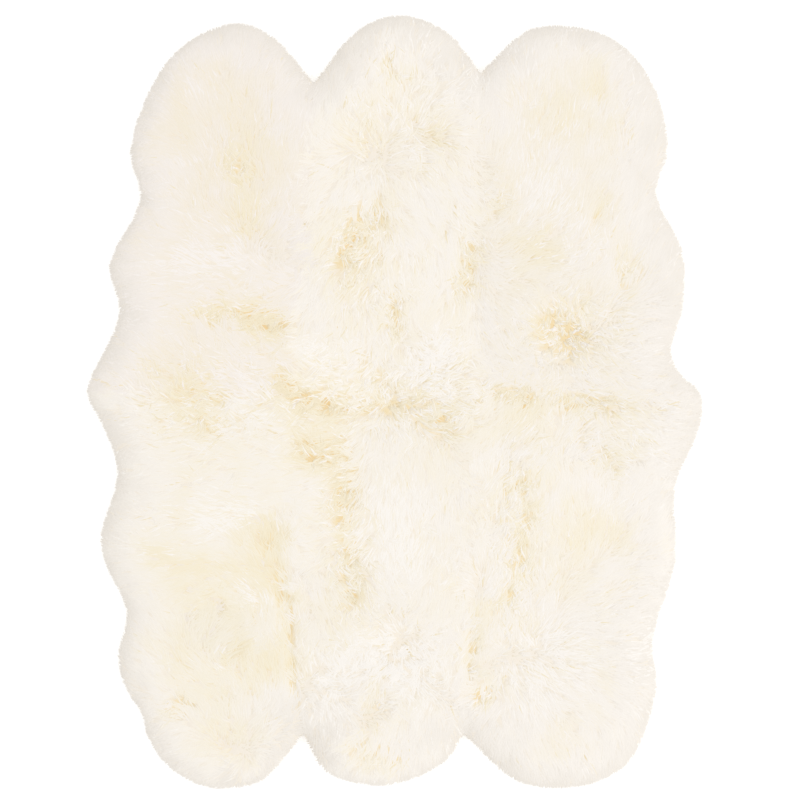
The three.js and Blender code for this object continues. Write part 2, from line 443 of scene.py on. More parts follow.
# Strokes of the brush: where they are in mm, and their headings in degrees from +X.
Stroke = namedtuple("Stroke", "x y heading")
STROKES = {
    "pelt_upper_left": (
        (-347, 867, 90), (-491, 819, 117), (-587, 724, 145), (-467, 700, 125),
        (-395, 676, 105), (-300, 783, 55), (-611, 628, 180), (-587, 580, 200),
        (-395, 532, 100), (-491, 484, 110), (-300, 604, 80), (-276, 460, 80),
        (-563, 436, 170), (-431, 364, 150), (-264, 364, 30), (-611, 268, 180),
        (-467, 268, 180), (-323, 268, 180), (-252, 244, 180), (-683, 77, 165),
        (-587, 77, 150), (-407, 125, 125), (-335, 77, 150), (-252, 77, 160),
        (-467, 17, 170), (-568, 660, 165), (-563, 520, 175), (-556, 350, 178),
    ),
    "pelt_upper_middle": (
        (-120, 795, 78), (0, 843, 90), (108, 771, 105), (84, 879, 60),
        (-132, 676, 78), (0, 700, 90), (108, 736, 10), (-48, 628, 90),
        (-12, 592, 0), (-84, 592, 180), (-48, 551, 270), (-132, 508, 240),
        (12, 484, 310), (108, 508, 300), (156, 484, 310), (-108, 400, 240),
        (96, 340, 293), (156, 364, 265), (-36, 340, 270), (-36, 220, 285),
        (108, 244, 250), (-132, 220, 265), (-180, 388, 240), (-180, 244, 260),
        (60, 100, 30), (-108, 100, 200), (0, 125, 280), (-156, 5, 180),
        (132, 5, 0),
    ),
    "pelt_upper_right": (
        (252, 819, 118), (264, 724, 100), (371, 819, 80), (491, 872, 30),
        (575, 771, 60), (395, 676, 78), (491, 604, 75), (300, 580, 80),
        (395, 484, 75), (515, 484, 68), (587, 388, 62), (539, 292, 65),
        (252, 436, 70), (252, 352, 20), (347, 340, 0), (419, 388, 60),
        (359, 173, 150), (431, 184, 60), (431, 137, 330), (371, 125, 220),
        (539, 173, 0), (587, 137, 5), (252, 196, 300), (276, 100, 330),
        (491, 77, 350), (635, 29, 10), (707, 5, 30),
    ),
    "pelt_lower_left": (
        (-683, -43, 190), (-635, -91, 195), (-587, -67, 180), (-467, -67, 180),
        (-347, -67, 180), (-587, -235, 180), (-467, -187, 180), (-347, -235, 180),
        (-659, -259, 145), (-539, -379, 180), (-443, -427, 180), (-347, -451, 150),
        (-282, -330, 97), (-270, -520, 98), (-258, -666, 95), (-563, -570, 140),
        (-503, -642, 125), (-419, -546, 30), (-467, -690, 160), (-395, -738, 100),
        (-335, -762, 60), (-551, -786, 195), (-431, -881, 205), (-300, -858, 280),
    ),
    "pelt_lower_middle": (
        (-156, -139, 180), (-156, -235, 185), (-144, -331, 180), (12, -115, 270),
        (-60, -235, 268), (84, -235, 275), (108, -331, 265), (-132, -379, 305),
        (-60, -427, 300), (120, -427, 245), (12, -522, 90), (-24, -570, 180),
        (48, -570, 0), (12, -618, 270), (-36, -654, 45), (-108, -690, 60),
        (120, -642, 78), (168, -570, 70), (-180, -858, 290), (-84, -822, 245),
        (-36, -906, 255), (12, -810, 270), (108, -810, 275), (-156, -522, 300),
        (84, -522, 250), (-156, -714, 280), (60, -714, 270),
    ),
    "pelt_lower_right": (
        (252, -43, 60), (311, -91, 40), (395, -91, 80), (491, -91, 315),
        (575, -91, 345), (635, -139, 0), (276, -211, 65), (419, -235, 88),
        (419, -331, 87), (587, -235, 52), (491, -450, 20), (419, -570, 5),
        (539, -594, 5), (419, -666, 338), (300, -427, 90), (300, -522, 85),
        (359, -822, 293), (395, -858, 290), (443, -810, 280), (551, -834, 280),
        (587, -810, 265), (228, -714, 245), (252, -810, 280), (491, -714, 320),
        (587, -474, 5), (300, -666, 300), (204, -379, 80),
    ),
}

# Patches in mm, with the turn of their long side in degrees. Ruffled wool stands in short crossed
# tufts; deep places part down to the underwool, or below nought lie paler; aged wool has yellowed.
Patch = namedtuple("Patch", "x y long wide turn ruffled deep aged")
PATCHES = (
    # Ruffled or yellowed places, pelt by pelt.
    (-498, 700, 84, 29, 80, 0.1, 0, 0.7),
    (-431, 783, 36, 24, 0, 0.1, 0, 0.5),
    (-288, 736, 43, 29, -45, 0.1, 0, 0.5),
    (-371, 532, 53, 38, -20, 0.7, 0.5, 0.35),
    (-359, 412, 43, 60, 0, 0.3, 0.1, 0.35),
    (-587, 400, 29, 43, 0, 0.3, 0.2, 0.6),
    (-395, 201, 84, 29, 0, 0.8, 0.6, 0.7),
    (-288, 184, 60, 43, -20, 0.8, 0.6, 0.8),
    (-563, 65, 43, 29, -30, 0.5, 0.3, 0.28),
    (-455, 22, 58, 34, 0, 0.5, 0.4, 0.6),
    (-424, -55, 38, 29, -40, 0.7, 0.6, 0.6),
    (-96, 388, 77, 48, 75, 0.9, 0.5, 0.5),
    (-48, 448, 34, 48, 0, 0.6, 0.4, 0.3),
    (0, 220, 67, 24, 90, 0.7, 0.4, 0.35),
    (-17, 800, 67, 19, 90, 0.5, 0.35, 0.3),
    (96, 628, 29, 48, 60, 0.4, 0.1, 0.28),
    (168, 328, 81, 24, 90, 0.7, 0.5, 0.5),
    (252, 472, 24, 24, 0, 0.5, 0.5, 0.25),
    (472, 748, 60, 29, -80, 0.1, 0, 0.9),
    (288, 724, 29, 34, 0, 0.1, 0, 0.4),
    (300, 364, 67, 48, 0, 0.2, 0.1, 0.5),
    (551, 304, 38, 43, 0, 0.4, 0.2, 0.45),
    (503, 604, 72, 24, 80, 0.1, 0, 0.3),
    (400, 165, 68, 55, -30, 0.9, 0.3, 0.3),
    (491, 448, 19, 34, 0, 0.4, 0.3, 0.3),
    (290, 5, 91, 26, 0, 0.9, 0.75, 0.5),
    (455, -7, 96, 22, 5, 0.7, 0.5, 0.5),
    (611, -14, 72, 19, 0, 0.4, 0.2, 0.2),
    (-156, -7, 84, 26, -10, 0.9, 0.7, 0.5),
    (-252, 41, 43, 24, -40, 0.8, 0.7, 0.7),
    (108, -43, 48, 38, -40, 0.8, 0.5, 0.25),
    (0, -7, 72, 22, 0, 0.7, 0.3, 0.2),
    (-168, -120, 67, 38, -10, 0.9, 0.7, 0.5),
    (-120, -235, 84, 29, 90, 0.8, 0.6, 0.4),
    (-108, -379, 72, 22, 90, 0.7, 0.5, 0.4),
    (-103, -462, 19, 19, 0, 0.6, 0.8, 0.6),
    (-24, -834, 72, 29, 0, 0.5, 0.5, 0.6),
    (-120, -798, 36, 24, 0, 0.3, 0.2, 0.4),
    (-48, -714, 34, 29, -30, 0.4, 0.2, 0.15),
    (-295, -331, 38, 53, 70, 0.3, 0.7, 0.9),
    (-264, -474, 84, 17, 95, 0.3, 0.9, 0.5),
    (-244, -630, 72, 14, 92, 0.3, 0.9, 0.4),
    (-467, -379, 132, 29, -15, 0.05, 0, 0.65),
    (-539, -594, 72, 60, 0, 0.1, 0, 0.3),
    (-383, -606, 29, 34, 0, 0.3, 0.3, 0.8),
    (-383, -498, 72, 36, -30, 0.1, 0, 0.5),
    (-515, -726, 53, 29, 35, 0.7, 0.5, 0.6),
    (-371, -810, 72, 34, 0, 0.1, 0, 0.6),
    (288, -206, 29, 34, 80, 0.6, 0.6, 0.6),
    (304, -355, 96, 24, 95, 0.5, 0.4, 0.48),
    (264, -474, 60, 19, 60, 0.5, 0.5, 0.4),
    (220, -690, 38, 22, 50, 0.6, 0.5, 0.3),
    (180, -594, 60, 17, 85, 0.5, 0.6, 0.3),
    (443, -331, 84, 60, 0, 0.1, 0, 0.42),
    (491, -151, 34, 29, -40, 0.6, 0.4, 0.5),
    (228, -510, 48, 36, 0, 0.3, 0.1, 0.32),
    (628, -379, 43, 14, 90, 0.2, 0, 0.5),
    (323, -810, 72, 29, 0, 0.1, 0, 0.3),
    (-300, -427, 52, 40, 90, 0.1, 0.2, 0.7),
    (-288, -642, 60, 43, 90, 0.1, 0.2, 0.7),
    # Long stretches that are yellower or paler as a whole, and some soft places.
    (-575, 510, 240, 70, 90, 0, 0, 0.45),
    (300, -460, 230, 60, 90, 0, 0, -0.2),
    (556, 60, 170, 55, 90, 0, -0.15, 0),
    (371, 664, 96, 62, 0, 0.05, 0, 0.25),
    (311, -60, 72, 48, 0, 0.2, 0, 0.35),
    (-288, 170, 62, 43, 0, 0.2, 0, 0.2),
    (-168, -60, 62, 50, 0, 0.3, 0.1, 0.4),
    (431, -774, 110, 60, 0, 0.1, 0, 0.25),
    (-48, -885, 140, 43, 0, 0.2, 0, 0.5),
    (-371, -850, 130, 43, 0, 0.1, 0, 0.4),
    (622, -400, 280, 50, 90, 0, 0, 0.4),
    # Paler places in ruffled wool.
    (60, 60, 62, 53, 0, 0.2, -0.6, 0),
    (72, -654, 62, 43, 0, 0.2, -0.5, 0),
    (-48, -654, 53, 48, 0, 0.2, -0.5, 0),
    (-168, -654, 48, 60, 0, 0.2, -0.5, 0),
    (311, -654, 60, 60, 0, 0.1, -0.3, 0),
    # Short partings at the left edge.
    (-664, 153, 34, 7, -20, 0.1, 0.8, 0.2),
    (-700, 48, 29, 7, 10, 0.1, 0.7, 0.2),
    # Wide places that are a little ruffled.
    (-419, 5, 264, 120, 0, 0.45, 0.1, 0.1),
    (0, 29, 240, 120, 0, 0.45, 0.1, 0.1),
    (-84, 340, 168, 84, 90, 0.4, 0.05, 0.1),
    (0, 652, 144, 132, 0, 0.3, 0, 0.1),
    (-359, 220, 120, 60, 0, 0.35, 0.1, 0.1),
    (276, -331, 264, 72, 90, 0.4, 0.05, 0.1),
    (-108, -343, 228, 67, 90, 0.45, 0.05, 0.1),
    (467, -115, 168, 72, 0, 0.35, 0.05, 0.1),
    (-60, -858, 132, 60, 0, 0.4, 0.1, 0.2),
    (419, 161, 144, 108, 0, 0.35, 0.05, 0.1),
    # Wide places that have yellowed a little.
    (-479, -474, 228, 204, 90, 0.05, 0, 0.32),
    (-419, 652, 204, 180, 90, 0.05, 0, 0.32),
    (-383, 460, 144, 144, 0, 0.1, 0, 0.15),
    (407, 652, 228, 192, 90, 0, 0, 0.16),
    (419, -307, 168, 144, 0, 0.05, 0, 0.12),
    (323, 340, 144, 144, 0, 0.05, 0, 0.15),
    (-395, -762, 168, 96, 0, 0.05, 0, 0.32),
    # Paler places, mostly smooth.
    (-431, 328, 108, 34, 0, 0, -0.8, 0),
    (-311, 5, 53, 38, 0, 0.2, -0.6, 0),
    (-379, -278, 67, 43, 0, 0, -0.9, 0),
    (-319, -486, 60, 24, 90, 0, -0.5, 0),
    (-120, -606, 53, 60, 0, 0.2, -0.8, 0),
    (5, -599, 67, 60, 0, 0.3, -1, 0),
    (12, -283, 144, 77, 90, 0.1, -0.6, 0),
    (89, 137, 62, 53, 0, 0.3, -0.9, 0),
    (-156, 125, 60, 43, 90, 0.3, -0.5, 0),
    (347, 460, 60, 53, 90, 0, -0.5, 0),
    (359, -582, 72, 72, 0, 0.1, -0.5, 0),
    (587, -570, 62, 62, 0, 0, -0.4, 0),
)

PATCH_WANDER = 12          # mm that a patch's outline wanders to either side
WANDER_SIZE = 0.030
WANDER_SEEDS = (25, 26)
STAYS_RUFFLED = 0.4        # share of the ruffling that a patch leaves as it was
CALM_RIM = 0.09            # how far in from the edge the wool lies calmer
DEEPEST = 0.9
LEAST_AGED = -0.4

# Random humps all over: how much they tell, how wide they are, and what they are drawn from.
Humps = namedtuple("Humps", "share size seed")
RUFFLED_EVENLY = 0.12
RUFFLED_HUMPS = (Humps(0.18, 0.070, 21), Humps(0.12, 0.022, 22))
DEEP_HUMPS = (Humps(0.15, 0.090, 23), Humps(0.12, 0.030, 24))
DEEP_RUFFLED_HUMPS = (Humps(0.22, 0.014, 29),)
AGED_EVENLY = 0.10
AGED_HUMPS = (Humps(0.22, 0.055, 27), Humps(0.20, 0.024, 28))


def eased(share):
    """A share from 0 to 1 that sets out and arrives gently."""
    return share * share * (3 - 2 * share)


def uneven(points, size, seed):
    """A soft random rise and fall from -1 to 1, whose humps are about that size."""
    cells = 60
    values = np.random.default_rng(seed).uniform(-1, 1, (cells + 1, cells + 1))
    place = (points - map_corner) / size
    cell = np.floor(place).astype(int)
    return between(values, *(cell.T % cells), *eased(place - cell).T)


def humps(points, kinds):
    """What some kinds of humps come to, together."""
    return sum(kind.share * uneven(points, kind.size, kind.seed) for kind in kinds)


def patch_maps():
    """How ruffled, how deep and how aged the wool is, all over the rug."""
    ruffled = RUFFLED_EVENLY + humps(lattice, RUFFLED_HUMPS)
    deep = humps(lattice, DEEP_HUMPS)
    aged = AGED_EVENLY + humps(lattice, AGED_HUMPS)
    wander = PATCH_WANDER * np.column_stack([uneven(lattice, WANDER_SIZE, seed) for seed in WANDER_SEEDS])
    for patch in [Patch(*row) for row in PATCHES]:
        turn = math.radians(patch.turn)
        away = lattice * MM - (patch.x, patch.y) + wander
        lengthways = (away @ (math.cos(turn), math.sin(turn))) / patch.long
        sideways = (away @ (-math.sin(turn), math.cos(turn))) / patch.wide
        within = np.exp(-(lengthways**4) - sideways**2)
        ruffled = np.maximum(ruffled, ruffled * STAYS_RUFFLED + patch.ruffled * within)
        deep = deep + patch.deep * within
        aged = aged + patch.aged * within
    deep = deep + ruffled * humps(lattice, DEEP_RUFFLED_HUMPS)
    calm = np.clip(edge_map.ravel() / CALM_RIM, 0, 1)
    maps = (np.clip(ruffled * calm, 0, 1), np.clip(deep, -1, DEEPEST), np.clip(aged, LEAST_AGED, 1))
    return [each.reshape(map_size) for each in maps]


def combing_map():
    """The way that the wool's tips point, all over the rug."""
    total = np.zeros_like(lattice)
    weight = np.full(len(lattice), TINY)
    for stroke in [Stroke(*row) for rows in STROKES.values() for row in rows]:
        heading = math.radians(stroke.heading)
        away = np.sum((lattice - (stroke.x / MM, stroke.y / MM)) ** 2, axis=1)
        share = np.exp(-away / STROKE_REACH**2)
        total += share[:, None] * (math.cos(heading), math.sin(heading))
        weight += share
    inner = (total / weight[:, None]).reshape(*map_size, 2)
    turned = eased(np.clip(1 - edge_map / RIM_COMBED, 0, 1)[..., None])
    return inner * (1 - turned) + outward_map * turned


ruffled_map, deep_map, aged_map = patch_maps()
heading_map = combing_map()

into_rim = np.clip(edge_map, 0, RIM) / RIM
rise_map = np.sqrt(1 - (1 - into_rim) ** 2)
hollow_map = SEAM_DIP * np.clip(1 - seam_map / SEAM_SOFT, 0, 1) ** 2
hollow_map += PARTING_DEPTH * np.clip(deep_map, 0, 1)
plan_x, plan_y = lattice.T.reshape(2, *map_size)
swell_map = SWELL * np.sin(2 * np.pi * plan_x / SWELL_ACROSS) * np.cos(2 * np.pi * plan_y / SWELL_ALONG)
height_map = EDGE + (PILE - EDGE - hollow_map + swell_map) * rise_map


# ---- Underwool ------------------------------------------------------------------------------------
# The short dense wool next to the skin, which holds the long locks up. It shows only in the partings, as
# warm cream that deepens to honey and amber where the wool is ruffled or parted: partly the underwool's
# own deeper colour, partly painted shade of the gaps. Each pelt's is one closed body with a lumpy top.

UNDERWOOL_SHARE = 0.86     # of the wool's height where it lies smooth
UNDERWOOL_RUFFLED = 0.64   # and where it is ruffled
UNDERWOOL_INSET = 0.009
UNDERWOOL_GRID = 0.0125
UNDERWOOL_EDGE_GRID = UNDERWOOL_GRID / 3
UNDERWOOL_CLEAR = 0.0002   # between the skin and the underwool
UNDERWOOL_SEED = 10
LUMPS = (Humps(0.002, 0.011, 31),)
LUMPS_RIM = 0.04           # how far in from the edge the lumps are full
MATTING_SHOWN = 0.4        # how far the matting spreads its colours
# Painted shade of the gaps: how far ruffled and parted places take the underwool towards honey and amber.
GAP_SHADE_RUFFLED = 0.4        # how much of its deeper colours shows where the wool is ruffled
GAP_SHADE_PARTED = 0.6         # and where it is parted
# Honey and amber are partly the underwool's own colour and partly painted shade of the gaps between
# locks.
AMBER_AND_SHADE = (0.760, 0.570, 0.310)
HONEY_AND_SHADE = (0.780, 0.655, 0.430)
CREAM = (0.792, 0.732, 0.645)

slope_map = np.stack(np.gradient(height_map, MAP_STEP), -1)
underwool_map = height_map * (UNDERWOOL_SHARE + (UNDERWOOL_RUFFLED - UNDERWOOL_SHARE) * ruffled_map)


def underwool_material():
    """Matted cream wool that deepens to honey and amber where it shows, partly its own colour and partly
    painted shade of the gaps.
    """
    material, principled = rough_material("underwool", roughness=1.0, shine=0.0)
    matting = add_node(material, "ShaderNodeGroup", node_tree=nap, Scale=120.0, Depth=0.002)
    parted = add_node(material, "ShaderNodeAttribute", attribute_name="parted")
    spread = add_node(material, "ShaderNodeMath", operation="MULTIPLY_ADD")
    spread.inputs[1].default_value = MATTING_SHOWN
    shades = add_ramp(material, [(0.35, CREAM), (0.65, HONEY_AND_SHADE), (1.0, AMBER_AND_SHADE)])
    link(matting, "Mask", spread, 0)
    link(parted, "Fac", spread, 2)
    link(spread, "Value", shades, "Fac")
    link(shades, "Color", principled, "Base Color")
    link(matting, "Normal", principled, "Normal")
    return material


matted = underwool_material()
for number, pelt in enumerate(PELTS):
    line = inset_outline(pelt, UNDERWOOL_INSET, UNDERWOOL_EDGE_GRID)
    plan, faces = filled(line, UNDERWOOL_GRID, np.random.default_rng(UNDERWOOL_SEED + number))
    lumps = humps(plan, LUMPS) * np.clip(read(edge_map, plan) / LUMPS_RIM, 0, 1)
    underwool = closed_sheet(
        pelt.replace("pelt", "underwool"), plan, faces, len(line),
        np.full(len(plan), SKIN_TOP + UNDERWOOL_CLEAR), read(underwool_map, plan) + lumps,
    )
    parted = underwool.data.attributes.new("parted", "FLOAT", "POINT")
    # How far each place is painted towards amber, partly for the shade of the gaps where the wool is
    # ruffled or parted.
    gap_colour_and_shade = GAP_SHADE_RUFFLED * read(ruffled_map, plan) + GAP_SHADE_PARTED * np.clip(read(deep_map, plan), 0, 1)
    parted.data.foreach_set("value", np.tile(gap_colour_and_shade, 2).astype(np.float32))
    underwool.data.materials.append(matted)
    underwool.visible_shadow = False
    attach(underwool, "root")


# ---- Wool -----------------------------------------------------------------------------------------
# Long ivory wool in small wavy locks, each a closed spindle that grows out of the underwool and lies
# over. Ruffled places stand in tufts of crimped locks, and finer ones hang out over the edge.

# Each kind's spacing, rings between root and tip, width, height as a share of that, length, depth and
# number of its waves, and how much its tips gather into tufts.
Lock = namedtuple("Lock", "spacing rings width thick reach wave bends gather")
COAT = {
    "staple": Lock(0.0080, 2, 0.0042, 0.11, 0.054, 0.0022, 1.0, 0.35),
    "fine": Lock(0.0056, 1, 0.0030, 0.11, 0.050, 0.0015, 0.8, 0.20),
    "fringe": Lock(0.0040, 1, 0.0026, 0.20, 0.040, 0.0010, 0.8, 0.10),
}
TUFTS = {
    "curl": Lock(0.0085, 3, 0.0058, 0.28, 0.034, 0.0052, 1.3, 0.75),
}
SIZES = (0.7, 1.3)         # a lock's length and width, as shares of its kind's
WOOL_SEED = 50

# The tufts stand on a loose lattice, each turned and raised a little by chance.
TUFT_SPACING = 0.017
TUFT_LOOSE = (0.1, 0.9)    # where a tuft stands in its square of the lattice
TUFT_SEED = 40

tuft_rng = np.random.default_rng(TUFT_SEED)
tuft_count = ((np.array(map_size) * MAP_STEP) / TUFT_SPACING).astype(int) + 2
tuft_grid = np.stack(np.indices(tuft_count), -1)
tuft_places = map_corner + TUFT_SPACING * (tuft_grid + tuft_rng.uniform(*TUFT_LOOSE, tuft_grid.shape))
tuft_turns = tuft_rng.normal(0, 1, tuft_count)
tuft_rise = tuft_rng.uniform(-1, 1, tuft_count)


def nearest_tuft(points):
    """The place in the tufts' lattice of the tuft that each point belongs to."""
    cell = ((points - map_corner) / TUFT_SPACING).astype(int)
    best = np.full(len(points), np.inf)
    found = cell.copy()
    for step in np.stack(np.indices((3, 3)), -1).reshape(-1, 2) - 1:
        tried = np.clip(cell + step, 0, tuft_count - 1)
        away = np.linalg.norm(tuft_places[tried[:, 0], tried[:, 1]] - points, axis=1)
        nearer = away < best
        best[nearer] = away[nearer]
        found[nearer] = tried[nearer]
    return found[:, 0], found[:, 1]


def combed(points, turn):
    """The direction of the combing at some points, turned by an angle."""
    way = read(heading_map, points)
    angle = np.arctan2(way[:, 1], way[:, 0]) + turn
    return np.column_stack([np.cos(angle), np.sin(angle)])


ROOT_INSET = 0.015         # no lock is rooted nearer the edge
FRINGE_BAND = 0.045        # and no lock of the fringe farther in
STAPLE_THINNED = 0.45      # share of a kind's locks that ruffled wool lacks
FINE_THINNED = 0.50
PARTED_THINNED = 0.10      # and that a parting lacks
CURLS_FROM = 0.35          # curls take their place from this much ruffling on
CURLS_RISE = 1.6


def rooted(kind, lock, line, rng):
    """Where the locks of one kind grow on a pelt."""
    points = loose_rows(line, lock.spacing, (0, 1), rng)
    edge, ruffled, deep = (read(each, points) for each in (edge_map, ruffled_map, deep_map))
    parted = np.clip(deep, 0, 1)
    grows = {
        "staple": (1 - STAPLE_THINNED * ruffled) * (1 - PARTED_THINNED * parted),
        "fine": (1 - FINE_THINNED * ruffled) * (1 - PARTED_THINNED * parted),
        "curl": np.clip(ruffled * CURLS_RISE - CURLS_FROM, 0, 1),
        "fringe": (edge < FRINGE_BAND).astype(float),
    }[kind]
    return points[(edge > ROOT_INSET) & (rng.uniform(0, 1, len(points)) < grows)]


# How far, in radians, locks turn from the combing: a tuft's together, and then each by itself.
SETTLED = 1.1              # combing as sure as this doesn't waver
TUFT_TURN = 0.08
TUFT_TURN_RUFFLED = 0.70
TUFT_TURN_UNSETTLED = 0.90
OWN_TURN = 0.08
OWN_TURN_RUFFLED = 0.25
TURN_HUMPS = (Humps(0.25, 0.030, 41), Humps(0.12, 0.012, 42))

# How far they reach, and where those that turn outward end, past the edge.
SHORTER_RUFFLED = 0.3
SHORTER_UNSETTLED = 0.4
OUTWARD_FROM = 0.1         # locks that turn outward less than this aren't cut short
OUTWARD_LEAST = 0.3        # and the others count as turning at least this much
LOCK_ENDS = (-0.006, 0.0025)
FRINGE_ENDS = (-0.0005, 0.0025)
PAST_EDGE = 0.002          # nothing reaches farther out
REACH_POWER = 1.25         # the rings lie closer together near the root

# How high they stand, as shares of the way up from the underwool, or in the fringe from the floor.
ROOT_DEPTH = 0.003         # how far a root goes into the underwool
STANDS = (0.80, 1.08)
TUFT_STANDS = 0.18         # how much more or less a whole tuft stands
LIFT_POWER = 1.8           # they rise fast from the root and then lie over
FRINGE_STANDS = (0.2, 1.0)
FRINGE_DROOPS = 0.35       # how much lower a tip of the fringe hangs
LOWEST = 0.0015

# How they wave, and how their tips are drawn to the middle of their tuft.
WAVES = (0.4, 1.6)         # the depth of a lock's waves, as a share of its kind's
WAVES_SMOOTH = 0.7
WAVES_RUFFLED = 0.8
WAVES_LIFT = 0.4
WAVE_POWER = 0.5
GATHER_SMOOTH = 0.4
GATHER_RIM = 0.06          # how far in from the edge they gather in full
GATHER_LEAST = 0.2
GATHER_POWER = 1.5


def centre_lines(kind, lock, roots, rng):
    """The middle line of each lock from root to tip, as rings + 2 points, and its share of the way."""
    count = len(roots)
    edge, ruffled = read(edge_map, roots), read(ruffled_map, roots)
    outward = read(outward_map, roots)
    unsettled = np.clip(SETTLED - np.linalg.norm(read(heading_map, roots), axis=1), 0, 1)
    loose = TUFT_TURN + TUFT_TURN_RUFFLED * ruffled + TUFT_TURN_UNSETTLED * unsettled
    tuft = nearest_tuft(roots)
    middle = tuft_places[tuft]
    tuft_way = combed(middle, tuft_turns[tuft] * loose)
    own_turn = tuft_turns[tuft] * loose
    own_turn += rng.normal(0, 1, count) * (OWN_TURN + OWN_TURN_RUFFLED * ruffled)
    way = combed(roots, own_turn + humps(roots, TURN_HUMPS))

    reach = lock.reach * rng.uniform(*SIZES, count)
    reach *= (1 - SHORTER_RUFFLED * ruffled) * (1 - SHORTER_UNSETTLED * unsettled)
    leaves = np.sum(way * outward, axis=1)
    room = np.where(leaves > OUTWARD_FROM, edge / np.clip(leaves, OUTWARD_LEAST, 1), np.inf)
    if kind == "fringe":
        reach = edge + rng.uniform(*FRINGE_ENDS, count)
    reach = np.minimum(reach, room + rng.uniform(*LOCK_ENDS, count))
    gather = lock.gather * (GATHER_SMOOTH + ruffled) * np.clip(edge / GATHER_RIM, GATHER_LEAST, 1)
    stands = rng.uniform(*STANDS, count) + TUFT_STANDS * ruffled * tuft_rise[tuft]
    if kind == "fringe":
        stands = rng.uniform(*FRINGE_STANDS, count)
    wave = lock.wave * rng.uniform(*WAVES, count) * (WAVES_SMOOTH + WAVES_RUFFLED * ruffled)
    phase = rng.uniform(0, 2 * np.pi, count)

    shares = np.linspace(0, 1, lock.rings + 2)
    line = []
    for share in shares:
        gone = reach * share**REACH_POWER
        point = roots + way * gone[:, None]
        bend = wave * np.sin(2 * np.pi * lock.bends * share + phase) * share**WAVE_POWER
        point = point + np.column_stack([-way[:, 1], way[:, 0]]) * bend[:, None]
        drawn = (gather * share**GATHER_POWER)[:, None]
        point = point * (1 - drawn) + (middle + tuft_way * gone[:, None]) * drawn
        over = np.clip(-read(edge_map, point) - PAST_EDGE, 0, None)
        point = point - read(outward_map, point) * over[:, None]
        top, bottom = read(height_map, point), read(underwool_map, point)
        lifted = 1 - (1 - share) ** LIFT_POWER
        height = bottom + (top - bottom) * stands * lifted - ROOT_DEPTH * (1 - lifted)
        if kind == "fringe":
            height = top * stands * (1 - FRINGE_DROOPS * share)
        height = height + WAVES_LIFT * bend * np.cos(phase) * ruffled
        line.append(np.column_stack([point, np.maximum(height, LOWEST)]))
    return np.stack(line, 1), shares


TAPER = 0.35               # how much narrower a lock is near its tip
TONE_ENDS = (0.03, 0.97)   # of the locks' tones on the map, across it
TONE_ACROSS = 0.02         # one side of a lock is darker and the other lighter
ROOT_TO_TIP = (0.01, 0.99) # along the map


def spindles(lines, shares, width, thick, tone):
    """Closed three-sided spindles on some centre lines, as points, faces and their places on the map."""
    count, rings = len(lines), lines.shape[1] - 2
    along = np.gradient(lines, axis=1)
    along /= np.linalg.norm(along, axis=2, keepdims=True)
    slope = read(slope_map, lines[..., :2].reshape(-1, 2)).reshape(*lines.shape[:2], 2)
    side = np.cross(along, np.concatenate([-slope, np.ones_like(slope[..., :1])], -1))
    side /= np.linalg.norm(side, axis=2, keepdims=True) + TINY
    up = np.cross(side, along)
    taper = 1 - TAPER * np.arange(rings) / rings
    wide = (width[:, None] * taper)[..., None]
    body = lines[:, 1:-1]
    corners = np.stack(
        [
            body - side[:, 1:-1] * wide / 2,
            body + side[:, 1:-1] * wide / 2,
            body + up[:, 1:-1] * wide * thick,
        ],
        2,
    )
    points = np.concatenate([lines[:, :1], corners.reshape(count, -1, 3), lines[:, -1:]], 1)
    size = points.shape[1]
    faces = []
    for a in range(3):
        b = (a + 1) % 3
        faces.append((0, 1 + a, 1 + b))
        for ring in range(rings - 1):
            low, high = 1 + 3 * ring, 4 + 3 * ring
            faces += [(low + a, high + a, high + b), (low + a, high + b, low + b)]
        faces.append((size - 1, size - 4 + b, size - 4 + a))
    faces = np.arange(count)[:, None, None] * size + np.array(faces)
    across = np.concatenate([[0], np.tile((-TONE_ACROSS, TONE_ACROSS, 0.0), rings), [0]])
    u = np.clip(tone[:, None], *TONE_ENDS) + across
    v = np.concatenate([ROOT_TO_TIP[:1], np.repeat(shares[1:-1], 3), ROOT_TO_TIP[1:]])
    places = np.stack([u, np.broadcast_to(v, u.shape)], -1)
    return points.reshape(-1, 3), faces.reshape(-1, 3), places.reshape(-1, 2)


# The colours of a lock by its tone. Yellow, white and pale wool are shares of the pelt's own white, which
# also holds painted light and shade.
Shade = namedtuple("Shade", "tone root tip")
# The amber and gold shades are partly yellowed wool and partly painted shade of the gaps in ruffled and
# parted wool.
AMBER_WOOL = Shade(0.00, (0.725, 0.590, 0.375), (0.762, 0.680, 0.510))
GOLD_WOOL = Shade(0.18, (0.762, 0.630, 0.390), (0.788, 0.716, 0.552))
YELLOW_WOOL = Shade(0.36, (0.966, 0.890, 0.710), (0.988, 0.970, 0.885))
WHITE_WOOL = Shade(0.54, (0.988, 0.972, 0.930), (1.000, 1.000, 1.000))
# Painted shade of the rug's sloping edge: darker, greyer wool.
RIM_SHADE_WOOL = Shade(0.72, (0.728, 0.666, 0.580), (0.740, 0.696, 0.638))
PALE_WOOL = Shade(0.80, (0.988, 0.935, 0.800), (1.020, 1.030, 1.045))
# Each pelt's white, partly its own and partly painted: the upper left and right are darker as painted
# shade, the upper middle lighter to offset the shade of its ruffled wool.
WHITES_AND_SHADE = {
    "upper_left": (0.797, 0.748, 0.702),
    "upper_middle": (0.822, 0.779, 0.724),
    "upper_right": (0.800, 0.757, 0.706),
    "lower_left": (0.808, 0.766, 0.708),
    "lower_middle": (0.812, 0.770, 0.714),
    "lower_right": (0.808, 0.766, 0.714),
}

